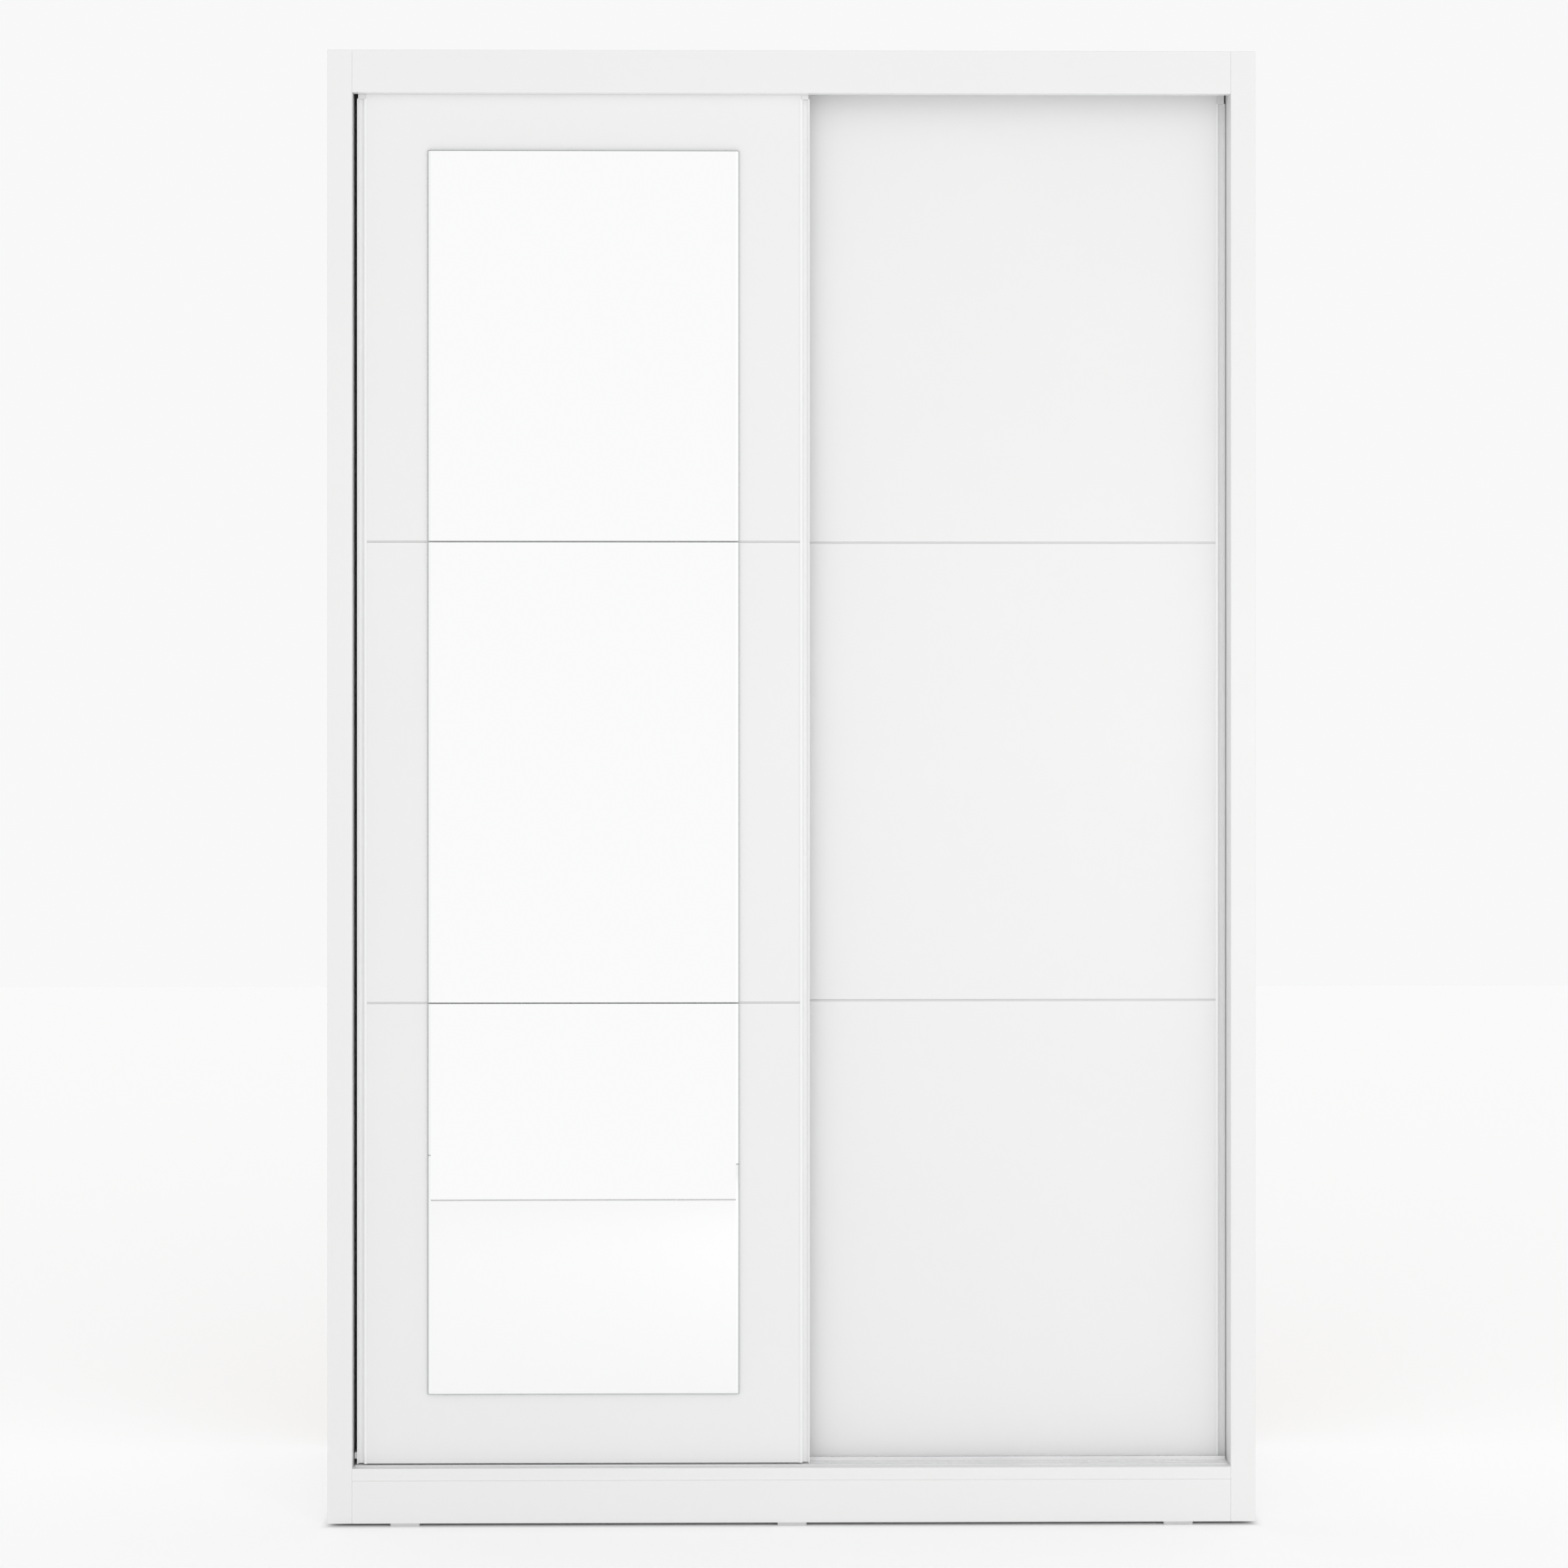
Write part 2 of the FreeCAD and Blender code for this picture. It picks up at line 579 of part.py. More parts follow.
# ---- Tracks ----------------------------------------------------------------
def save_bottom_track():
    half = OPENING - TRACK_GAP
    track = slab(-half, half, TRACK_FRONT, TRACK_BACK, FLOOR, TRACK_TOP)
    for door_depth in (FRONT_DOOR_DEPTH, REAR_DOOR_DEPTH):
        centre = door_depth + DOOR_BOARD + RAIL_BEHIND
        rail = slab(-half, half, centre - RAIL / 2, centre + RAIL / 2, TRACK_TOP - TRACK / 2, RAIL_TOP)
        crown = [edge for edge in rail.Edges
                 if edge.BoundBox.XLength > half and edge.BoundBox.ZMin > TRACK_TOP]
        track = track.fuse(rail.makeFillet(RAIL_CROWN_R, crown))
    save("bottom_track", bored(track.removeSplitter(), FITTING_SCREWS))


def save_top_track():
    half = OPENING - RUN_GAP
    centres = [depth + GUIDE_CENTRE for depth in (FRONT_DOOR_DEPTH, REAR_DOOR_DEPTH)]
    front = centres[0] - CHANNEL - TOP_TRACK_WALL
    back = centres[1] + CHANNEL + TOP_TRACK_WALL
    track = slab(-half, half, front, back, TOP_TRACK_BASE, CEILING)
    for centre in centres:
        for inner, outer in ((-CHANNEL - TOP_TRACK_WALL, -CHANNEL), (CHANNEL, CHANNEL + TOP_TRACK_WALL)):
            leg = slab(-half, half, centre + inner, centre + outer, TOP_TRACK_BASE - TOP_TRACK_LEG, CEILING)
            track = track.fuse(leg)
    save("top_track", bored(track.removeSplitter(), FITTING_SCREWS))


# ---- Door pieces -----------------------------------------------------------
class Door:
    """One sliding door: its left edge, the depth of its face and its name."""

    def __init__(self, name, left, depth, has_mirror):
        self.name = name
        self.left = left
        self.right = left + DOOR_WIDTH
        self.depth = depth
        self.back = depth + DOOR_BOARD
        self.has_mirror = has_mirror
        self.edges = (("left", self.left, -1), ("right", self.right, 1))
        self.screws = self.handle_screws() + self.carriage_screws() + self.guide_screws()

    def handle_screws(self):
        group = []
        for _, edge, side in self.edges:
            x = edge - side * (HANDLE + HANDLE_FLANGE / 2)
            for z in spread(CARRIAGE_TOP, HANDLE_TOP - JOINT_MARGIN, HANDLE_SCREWS):
                group.append(screw(point(x, self.back + HANDLE_WALL, z), TO_FRONT))
        return group

    def wheel_x(self, edge, side):
        return edge - side * CARRIAGE_INSET

    def carriage_screws(self):
        group = []
        margin = CARRIAGE_TAB / 3
        z = CARRIAGE_TOP - margin
        reach = CARRIAGE_WIDTH / 2 - margin
        for _, edge, side in self.edges:
            for shift in spread(-reach, reach, CARRIAGE_SCREWS):
                at = point(self.wheel_x(edge, side) + shift, self.back + CARRIAGE_SHEET, z)
                group.append(screw(at, TO_FRONT))
        return group

    def guide_screws(self):
        """One through each top guide, sunk in its tongue, into the board's edge."""
        group = []
        for _, edge, side in self.edges:
            x = edge - side * (HANDLE + GUIDE_LENGTH / 2)
            foot = point(x, self.depth + GUIDE_CENTRE, DOOR_TOP + GUIDE_PLATE)
            group.append(screw(foot, DOWN, SCREW_LENGTH + GUIDE_PLATE))
        return group

    def levels(self):
        """Bottom and top of each board."""
        step = BOARD_HEIGHT + JOINT_GAP
        return [(DOOR_BOTTOM + k * step, DOOR_BOTTOM + k * step + BOARD_HEIGHT)
                for k in range(BOARD_COUNT)]

    def joiner(self, z, ease=0.0):
        """A strip between two boards, with a tongue up and a tongue down."""
        x0 = self.left + DOOR_EDGE
        x1 = self.right - DOOR_EDGE
        middle = self.depth + DOOR_BOARD / 2
        tongue = slab(x0, x1, middle - TONGUE / 2 - ease, middle + TONGUE / 2 + ease,
                      z - JOINT_GAP / 2 - TONGUE_REACH - ease, z + JOINT_GAP / 2 + TONGUE_REACH + ease)
        web = slab(x0, x1, self.depth, self.back, z - JOINT_GAP / 2, z + JOINT_GAP / 2)
        return web.fuse(tongue).removeSplitter()

    def joint_levels(self):
        return [top + JOINT_GAP / 2 for _, top in self.levels()[:-1]]

    def save_boards(self):
        grooves = [self.joiner(z, GROOVE_EASE) for z in self.joint_levels()]
        for word, (z0, z1) in zip(BOARD_NAMES, self.levels()):
            piece = board(self.left + DOOR_EDGE, self.right - DOOR_EDGE, self.depth, self.back, z0, z1)
            for groove in grooves:
                if piece.BoundBox.intersect(groove.BoundBox):
                    piece = piece.cut(groove)
            save(self.name + "_board_" + word, bored(piece, self.screws))
        joiners = [self.joiner(z) for z in self.joint_levels()]
        save(self.name + "_joiners", Part.makeCompound(joiners))

    def handle(self, edge, side):
        """The finger-pull profile: a channel over the board's edge with a round groove in front."""
        def at(across, back):
            return point(edge - side * (HANDLE - across), self.depth + back, DOOR_BOTTOM)

        lip = -HANDLE_WALL
        turn = lip + FINGER_STRAIGHT
        flange = DOOR_BOARD + HANDLE_WALL
        lines = [at(HANDLE_LIP, 0), at(0, 0), at(0, lip), at(FINGER_IN, lip), at(FINGER_IN, turn)]
        rest = [at(FINGER_OUT, turn), at(FINGER_OUT, lip), at(HANDLE, lip), at(HANDLE, flange),
                at(-HANDLE_FLANGE, flange), at(-HANDLE_FLANGE, DOOR_BOARD), at(HANDLE_LIP, DOOR_BOARD),
                at(HANDLE_LIP, 0)]
        groove = Part.Arc(lines[-1], at((FINGER_IN + FINGER_OUT) / 2, turn + FINGER_R), rest[0]).toShape()
        outline = Part.Wire(Part.makePolygon(lines).Edges + [groove] + Part.makePolygon(rest).Edges)
        length = HANDLE_TOP - DOOR_BOTTOM
        profile = Part.Face(outline).extrude(UP * length)
        x0, x1 = sorted((at(FINGER_IN, 0).x, at(FINGER_OUT, 0).x))
        chamber = slab(x0, x1, self.depth + FINGER_DEEP + HANDLE_WALL, self.back, DOOR_BOTTOM, HANDLE_TOP)
        return bored(profile.cut(chamber), self.screws)

    def top_guide(self, edge, side):
        """Corner block over a handle's end, with a plate on the board and a tongue in the channel."""
        outer = edge - side * GUIDE_STEP
        board_edge = edge - side * DOOR_EDGE
        inner = edge - side * (HANDLE + GUIDE_LENGTH)
        middle = self.depth + GUIDE_CENTRE

        def piece(xa, xb, depth0, depth1, z0, z1):
            return slab(min(xa, xb), max(xa, xb), depth0, depth1, z0, z1)

        block = piece(outer, board_edge, self.depth, self.back, HANDLE_TOP, DOOR_TOP + GUIDE_PLATE)
        plate = piece(outer, inner, self.depth, self.back, DOOR_TOP, DOOR_TOP + GUIDE_PLATE)
        tongue = piece(outer, inner, middle - GUIDE / 2, middle + GUIDE / 2, DOOR_TOP,
                       DOOR_TOP + GUIDE_PLATE + GUIDE_TONGUE)
        upright = [line for line in tongue.Edges if line.BoundBox.ZLength > GUIDE_TONGUE]
        tongue = tongue.makeFillet(GUIDE * GUIDE_ROUND, upright)
        plug = piece(edge - side * (HANDLE - FINGER_IN - PLUG_EASE), edge - side * (HANDLE_WALL + PLUG_EASE),
                     self.depth + FINGER_DEEP + HANDLE_WALL + PLUG_EASE, self.back - PLUG_EASE,
                     HANDLE_TOP - GUIDE_PLUG, HANDLE_TOP + GUIDE_PLATE)
        guide = block.fuse([plate, tongue, plug]).removeSplitter()
        well_x = edge - side * (HANDLE + GUIDE_LENGTH / 2)
        well = Part.makeCylinder(SCREW_HEAD_R + WELL_EASE, GUIDE_TONGUE,
                                 point(well_x, middle, DOOR_TOP + GUIDE_PLATE), UP)
        return bored(guide.cut(well), self.screws)

    def carriage(self, edge, side):
        """A sheet bracket on the board's back with a cheek beyond the wheel."""
        x = self.wheel_x(edge, side)
        half = CARRIAGE_WIDTH / 2
        cheek_half = WHEEL_R + WHEEL_END_GAP
        foot = DOOR_BOTTOM + CARRIAGE_FOOT
        cheek_depth = self.back + CHEEK_BEHIND
        plate = slab(x - half, x + half, self.back, self.back + CARRIAGE_SHEET, foot, CARRIAGE_TOP)
        top = slab(x - cheek_half, x + cheek_half, self.back, cheek_depth + CARRIAGE_SHEET,
                   BRIDGE_Z, BRIDGE_Z + CARRIAGE_SHEET)
        cheek = slab(x - cheek_half, x + cheek_half, cheek_depth, cheek_depth + CARRIAGE_SHEET,
                     foot, BRIDGE_Z + CARRIAGE_SHEET)
        body = plate.fuse([top, cheek]).removeSplitter()
        hole = Part.makeCylinder(AXLE_R + AXLE_EASE, GEAR_BEHIND, point(x, self.back, AXLE_Z), TO_BACK)
        return bored(body.cut(hole), self.screws)

    def axle(self, edge, side):
        x = self.wheel_x(edge, side)
        reach = CHEEK_BEHIND + CARRIAGE_SHEET
        return stepped(point(x, self.back, AXLE_Z), TO_BACK, [
            (0, reach, AXLE_R, AXLE_R),
            (reach, reach + AXLE_HEAD, AXLE_HEAD_R, AXLE_HEAD_TOP_R),
        ])

    def save_hardware(self):
        for word, edge, side in self.edges:
            save(self.name + "_handle_" + word, self.handle(edge, side))
        for noun, make in (("carriages", self.carriage), ("axles", self.axle), ("top_guides", self.top_guide)):
            save(self.name + "_" + noun, Part.makeCompound([make(edge, side) for _, edge, side in self.edges]))
        save(self.name + "_screws", solids(self.screws))
        z = DOOR_BOTTOM + BUMPER_LIFT
        middle = self.depth + DOOR_BOARD / 2
        bumper = slab(self.left - BUMPER, self.left, middle - BUMPER_WIDTH / 2, middle + BUMPER_WIDTH / 2,
                      z, z + BUMPER_HEIGHT)
        nose = [line for line in bumper.Edges if line.BoundBox.XMax < self.left - BUMPER / 2]
        save(self.name + "_bumper", bumper.makeFillet(BUMPER_CORNER_R, nose))

    def save_wheels(self):
        for word, edge, side in self.edges:
            save(self.name + "_wheel_" + word, wheel(self.wheel_x(edge, side), self.back + RAIL_BEHIND))

    def save_mirrors(self):
        """Three panes on the face, bevelled down both long edges."""
        x0 = self.left + MIRROR_SIDE
        x1 = self.right - MIRROR_SIDE
        joints = self.joint_levels()
        lows = [DOOR_BOTTOM + MIRROR_MARGIN] + [z + MIRROR_GAP / 2 for z in joints]
        highs = [z - MIRROR_GAP / 2 for z in joints] + [DOOR_TOP - MIRROR_MARGIN]
        glass = self.depth - MIRROR
        shoulder = glass + MIRROR_BEVEL_DEPTH
        for word, z0, z1 in zip(BOARD_NAMES, lows, highs):
            outline = Part.makePolygon([
                point(x0, self.depth, z0), point(x0, shoulder, z0), point(x0 + MIRROR_BEVEL, glass, z0),
                point(x1 - MIRROR_BEVEL, glass, z0), point(x1, shoulder, z0), point(x1, self.depth, z0),
                point(x0, self.depth, z0),
            ])
            save("mirror_" + word, Part.Face(outline).extrude(UP * (z1 - z0)))

    def save_all(self):
        self.save_boards()
        self.save_hardware()
        self.save_wheels()
        if self.has_mirror:
            self.save_mirrors()


def wheel(x, depth):
    """A grooved wheel on a Y axis, centred on its rail."""
    half = WHEEL_WIDTH / 2
    groove = RAIL / 2 + RUN_GAP
    bore = AXLE_R + AXLE_EASE
    outline = [
        (-half - WHEEL_HUB, bore), (-half - WHEEL_HUB, WHEEL_HUB_R), (-half, WHEEL_HUB_R),
        (-half, WHEEL_R), (-half + WHEEL_RIM, WHEEL_R), (-groove, WHEEL_GROOVE_R),
        (groove, WHEEL_GROOVE_R), (half - WHEEL_RIM, WHEEL_R), (half, WHEEL_R),
        (half, WHEEL_HUB_R), (half + WHEEL_HUB, WHEEL_HUB_R), (half + WHEEL_HUB, bore),
    ]
    points = [point(x, depth + across, AXLE_Z + radius) for across, radius in outline]
    face = Part.Face(Part.makePolygon(points + points[:1]))
    return face.revolve(point(x, depth, AXLE_Z), TO_BACK, 360)


# ---- Write every piece -----------------------------------------------------
os.makedirs("parts", exist_ok=True)
save_sides()
save_top_and_bottom()
save_divider()
save_front_frame()
save_base()
save_back()
save_shelves()
save_hanging_rail()
save("wall_brackets", Part.makeCompound([wall_bracket(-1), wall_bracket(1)]))
save_bottom_track()
save_top_track()
save("fitting_screws", solids(FITTING_SCREWS))
save("confirmat_screws", solids(CONFIRMATS))
save("screw_caps", solids(CAP_GROUP))
save("dowels", solids(DOWELS))
Door("front_door", FRONT_DOOR_X, FRONT_DOOR_DEPTH, True).save_all()
Door("rear_door", REAR_DOOR_X, REAR_DOOR_DEPTH, False).save_all()
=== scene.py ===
import json
import math

import bmesh
import bpy
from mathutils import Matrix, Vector


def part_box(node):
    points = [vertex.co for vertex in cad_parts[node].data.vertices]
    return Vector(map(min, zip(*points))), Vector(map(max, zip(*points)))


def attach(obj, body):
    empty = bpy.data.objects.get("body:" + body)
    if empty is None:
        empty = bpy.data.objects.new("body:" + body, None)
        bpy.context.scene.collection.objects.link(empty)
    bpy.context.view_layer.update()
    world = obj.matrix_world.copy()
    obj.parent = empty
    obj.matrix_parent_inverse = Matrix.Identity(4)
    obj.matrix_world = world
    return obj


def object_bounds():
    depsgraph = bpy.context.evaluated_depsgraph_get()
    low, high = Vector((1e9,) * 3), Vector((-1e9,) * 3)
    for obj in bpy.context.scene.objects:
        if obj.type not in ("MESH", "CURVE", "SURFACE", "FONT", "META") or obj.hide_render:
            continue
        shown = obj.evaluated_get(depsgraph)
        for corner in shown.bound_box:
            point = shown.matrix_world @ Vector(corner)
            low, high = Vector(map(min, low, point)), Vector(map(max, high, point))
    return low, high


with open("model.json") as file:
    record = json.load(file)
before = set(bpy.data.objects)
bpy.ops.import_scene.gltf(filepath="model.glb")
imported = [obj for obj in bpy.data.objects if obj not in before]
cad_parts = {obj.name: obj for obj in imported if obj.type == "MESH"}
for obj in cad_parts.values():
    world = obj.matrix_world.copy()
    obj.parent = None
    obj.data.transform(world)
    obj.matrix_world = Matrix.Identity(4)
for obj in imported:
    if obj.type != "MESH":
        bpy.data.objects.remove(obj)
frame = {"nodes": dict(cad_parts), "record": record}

CAD_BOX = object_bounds()
NODES = frame["nodes"]
MM = 0.001                          # everything here is in metres


# ---- Camera ----------------------------------------------------------------
CAMERA_DISTANCE = 5.0               # from the wardrobe's front plane
CAMERA_HEIGHT = 1.12
CAMERA_TURN = math.radians(0.7)     # how far it stands round to the left
FRAME_SPAN = 2.0267                 # width that the picture takes in at the front plane
FRAME_CENTRE = (-0.0104, 0.9588)    # x and z at the picture's middle
SENSOR_WIDTH = 36.0                 # millimetres


def add_camera():
    front = CAD_BOX[0].y
    data = bpy.data.cameras.new("camera")
    data.sensor_width = SENSOR_WIDTH
    data.lens = data.sensor_width * CAMERA_DISTANCE / FRAME_SPAN
    data.shift_y = (FRAME_CENTRE[1] - CAMERA_HEIGHT) / FRAME_SPAN
    data.clip_end = 60.0
    camera = bpy.data.objects.new("camera", data)
    camera.location = (FRAME_CENTRE[0] - CAMERA_DISTANCE * math.sin(CAMERA_TURN),
                       front - CAMERA_DISTANCE * math.cos(CAMERA_TURN), CAMERA_HEIGHT)
    camera.rotation_euler = (math.pi / 2, 0, -CAMERA_TURN)
    bpy.context.scene.collection.objects.link(camera)
    bpy.context.scene.camera = camera


# ---- Node materials --------------------------------------------------------
class Shader:
    """A node material built step by step. Textures follow the object, in metres."""

    def __init__(self, name, colour, roughness, metallic=0.0):
        self.material = bpy.data.materials.new(name)
        self.material.use_nodes = True
        self.tree = self.material.node_tree
        self.bsdf = self.tree.nodes["Principled BSDF"]
        self.bsdf.inputs["Base Color"].default_value = (*colour, 1)
        self.bsdf.inputs["Roughness"].default_value = roughness
        self.bsdf.inputs["Metallic"].default_value = metallic
        self.place = self.node("ShaderNodeTexCoord").outputs["Object"]
        self.height = None

    def node(self, kind, **settings):
        made = self.tree.nodes.new(kind)
        for key, value in settings.items():
            setattr(made, key, value)
        return made

    def link(self, output, target):
        self.tree.links.new(output, target)

    def set(self, **values):
        """Constants on the shader's own sockets."""
        for key, value in values.items():
            self.bsdf.inputs[key.replace("_", " ")].default_value = value
        return self

    def stretched(self, scale):
        mapping = self.node("ShaderNodeMapping")
        mapping.inputs["Scale"].default_value = scale
        self.link(self.place, mapping.inputs["Vector"])
        return mapping.outputs["Vector"]

    def noise(self, scale, detail=3.0, roughness=0.5, stretch=None):
        texture = self.node("ShaderNodeTexNoise")
        texture.inputs["Scale"].default_value = scale
        texture.inputs["Detail"].default_value = detail
        texture.inputs["Roughness"].default_value = roughness
        self.link(self.stretched(stretch) if stretch else self.place, texture.inputs["Vector"])
        return texture.outputs["Fac"]

    def cells(self, scale, feature="F1", stretch=None):
        texture = self.node("ShaderNodeTexVoronoi", feature=feature)
        texture.inputs["Scale"].default_value = scale
        self.link(self.stretched(stretch) if stretch else self.place, texture.inputs["Vector"])
        return texture.outputs["Distance"]

    def ramp(self, value, low, high, low_out=0.0, high_out=1.0):
        node = self.node("ShaderNodeMapRange")
        node.inputs["From Min"].default_value = low
        node.inputs["From Max"].default_value = high
        node.inputs["To Min"].default_value = low_out
        node.inputs["To Max"].default_value = high_out
        self.link(value, node.inputs["Value"])
        return node.outputs["Result"]

    def math(self, operation, first, second):
        node = self.node("ShaderNodeMath", operation=operation)
        for socket, value in zip(node.inputs, (first, second)):
            if isinstance(value, (int, float)):
                socket.default_value = value
            else:
                self.link(value, socket)
        return node.outputs["Value"]

    def mix(self, factor, first, second):
        """A colour between first and second."""
        node = self.node("ShaderNodeMix", data_type="RGBA")
        self.link(factor, node.inputs["Factor"])
        for socket, value in ((node.inputs["A"], first), (node.inputs["B"], second)):
            if isinstance(value, tuple):
                socket.default_value = (*value, 1)
            else:
                self.link(value, socket)
        return node.outputs["Result"]

    def colour(self, output):
        self.link(output, self.bsdf.inputs["Base Color"])
        return self

    def rough(self, value, low, high):
        """Roughness between low and high as value goes from 0.35 to 0.65."""
        self.link(self.ramp(value, 0.35, 0.65, low, high), self.bsdf.inputs["Roughness"])
        return self

    def bump(self, value, depth, strength=1.0):
        """Relief of the given depth, in metres; reliefs add up."""
        node = self.node("ShaderNodeBump")
        node.inputs["Strength"].default_value = strength
        node.inputs["Distance"].default_value = depth
        self.link(value, node.inputs["Height"])
        if self.height:
            self.link(self.height, node.inputs["Normal"])
        self.height = node.outputs["Normal"]
        self.link(self.height, self.bsdf.inputs["Normal"])
        return self

    def facing(self, axis):
        """How far the true surface turns towards an axis of the object, either way."""
        normal = self.node("ShaderNodeTexCoord").outputs["Normal"]
        split = self.node("ShaderNodeSeparateXYZ")
        self.link(normal, split.inputs["Vector"])
        return self.math("ABSOLUTE", split.outputs[axis], 0.0)

    def along(self, axis):
        split = self.node("ShaderNodeSeparateXYZ")
        self.link(self.place, split.inputs["Vector"])
        return split.outputs[axis]

    def off_centre(self, axis, centre):
        """Distance along an axis from a centre, either way."""
        return self.math("ABSOLUTE", self.math("SUBTRACT", self.along(axis), centre), 0.0)


def melamine(name, tone):
    """Satin white melamine: pearl texture, faint mottle, and faint handling marks."""
    shader = Shader(name, (tone, tone, tone), 0.36)
    mottle = shader.noise(2.2, 4, 0.55)
    shade = shader.mix(shader.ramp(mottle, 0.3, 0.7), (tone * 0.985,) * 3,
                       (tone, tone, tone * 0.998))
    fibre = shader.noise(420, 2, 0.6, (1, 1, 0.35))
    shade = shader.mix(shader.ramp(fibre, 0.62, 0.72, 0.0, 0.10), shade, (tone * 0.93,) * 3)
    shader.colour(shade)
    shader.rough(shader.noise(9, 5, 0.6), 0.34, 0.41)
    shader.bump(shader.noise(1400, 2, 0.5), 0.00003, 0.5)
    shader.bump(shader.cells(700), 0.00002, 0.35)
    return shader.set(IOR=1.47).material


def lacquered_profile(name, tone, roughness=0.3):
    """White lacquer on an extrusion, with faint lines along its length."""
    shader = Shader(name, (tone, tone, tone * 1.005), roughness)
    lines = shader.noise(900, 2, 0.5, (1, 1, 0.004))
    spots = shader.noise(14, 2, 0.4, (1, 1, 0.3))
    spot_tone = (tone * 0.975, tone * 0.975, tone * 0.98)
    shader.colour(shader.mix(shader.ramp(spots, 0.2, 0.8), (tone,) * 3, spot_tone))
    shader.rough(spots, roughness - 0.03, roughness + 0.05)
    shader.bump(lines, 0.00002, 0.4)
    return shader.set(IOR=1.5, Coat_Weight=0.25, Coat_Roughness=0.15).material


SHADED_RIM_WIDTH = 1.0 * MM            # the silver stops this far short of the mirror's outline; the dark rim there is also painted shade along the pane's edge


def mirror_glass(name):
    """Silvered float glass with a dark rim where the silver stops, darkened further as painted shade along
    its edge; its cut sides are a dull grey green.
    """
    bright = (0.955, 0.96, 0.957)
    shader = Shader(name, bright, 0.012, 1.0)
    wave = shader.noise(2.5, 1, 0.4)
    dust = shader.noise(260, 3, 0.6)
    low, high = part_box("mirror_lower")[0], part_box("mirror_upper")[1]
    shaded_rim = shader.math("MAXIMUM", *(
        shader.ramp(shader.off_centre(axis, (low[k] + high[k]) / 2), (high[k] - low[k]) / 2 - SHADED_RIM_WIDTH,
                    (high[k] - low[k]) / 2 - SHADED_RIM_WIDTH + 0.1 * MM)
        for k, axis in ((0, "X"), (2, "Z"))))
    # dark rim colour: the unsilvered border, darkened as painted shade along the pane's edge
    silver = shader.mix(shaded_rim, bright, (0.42, 0.44, 0.43))
    side = shader.ramp(shader.facing("Y"), 0.25, 0.4, 1.0, 0.0)
    shader.colour(shader.mix(side, silver, (0.30, 0.36, 0.34)))
    dusty = shader.ramp(dust, 0.66, 0.8, 0.008, 0.05)
    rough = shader.math("MAXIMUM", dusty, shader.math("MULTIPLY", side, 0.35))
    shader.link(rough, shader.bsdf.inputs["Roughness"])
    shader.bump(wave, 0.00001, 0.25)
    return shader.material


def metal(name, tone, roughness, spangle=0.0, brushed=False):
    """Bright or zinc-plated metal, with grain or spangle and a few dull spots."""
    shader = Shader(name, (tone, tone, tone * 1.02), roughness, 1.0)
    spots = shader.noise(140, 4, 0.6)
    if spangle:
        crystals = shader.cells(320)
        dull = (tone * (1 - spangle),) * 3
        shader.colour(shader.mix(shader.ramp(crystals, 0.1, 0.7), dull, (tone,) * 3))
    else:
        shader.colour(shader.mix(shader.ramp(spots, 0.4, 0.75), (tone,) * 3, (tone * 0.9,) * 3))
    shader.rough(spots, roughness * 0.8, roughness * 1.3)
    grain = shader.noise(1500, 2, 0.5, (0.05, 1, 1) if brushed else None)
    shader.bump(grain, 0.00002, 0.3)
    return shader.material


def plastic(name, tone, roughness, grain=1100):
    """Moulded plastic with a fine spark-eroded texture."""
    shader = Shader(name, (tone, tone, tone), roughness)
    cloud = shader.noise(45, 3, 0.5)
    cloud_tone = (tone * 0.96, tone * 0.96, tone * 0.955)
    shader.colour(shader.mix(shader.ramp(cloud, 0.35, 0.7), (tone,) * 3, cloud_tone))
    shader.rough(cloud, roughness - 0.05, roughness + 0.08)
    shader.bump(shader.noise(grain, 2, 0.5), 0.00003, 0.4)
    return shader.set(IOR=1.49).material


def hardboard(name):
    """Thin fibreboard: white lacquer inside, raw brown fibre behind and at its edges."""
    white = (0.85, 0.85, 0.84)
    shader = Shader(name, white, 0.5)
    split = shader.node("ShaderNodeSeparateXYZ")
    shader.link(shader.node("ShaderNodeTexCoord").outputs["Normal"], split.inputs["Vector"])
    white_side = shader.ramp(split.outputs["Y"], -0.6, -0.5, 1.0, 0.0)
    fibre = shader.noise(260, 5, 0.7, (1, 1, 0.6))
    flecks = shader.noise(900, 2, 0.6)
    cloud = shader.noise(3, 4, 0.6)
    raw = shader.mix(shader.ramp(fibre, 0.3, 0.7), (0.23, 0.135, 0.072), (0.36, 0.235, 0.14))
    raw = shader.mix(shader.ramp(cloud, 0.3, 0.7, 0.0, 0.5), raw, (0.30, 0.19, 0.11))
    raw = shader.mix(shader.ramp(flecks, 0.66, 0.74, 0.0, 0.6), raw, (0.15, 0.08, 0.04))
    shader.colour(shader.mix(white_side, raw, white))
    shader.link(shader.ramp(white_side, 0, 1, 0.72, 0.42), shader.bsdf.inputs["Roughness"])
    shader.bump(fibre, 0.00006, 0.5)
    shader.bump(flecks, 0.00003, 0.4)
    return shader.material


def beech(name):
    """Pale beech with short dark pores along the dowel."""
    shader = Shader(name, (0.72, 0.55, 0.38), 0.55)
    grain = shader.noise(500, 4, 0.6, (0.1, 1, 1))
    shader.colour(shader.mix(shader.ramp(grain, 0.35, 0.65), (0.76, 0.58, 0.41), (0.60, 0.42, 0.27)))
    shader.bump(grain, 0.00005, 0.4)
    return shader.material


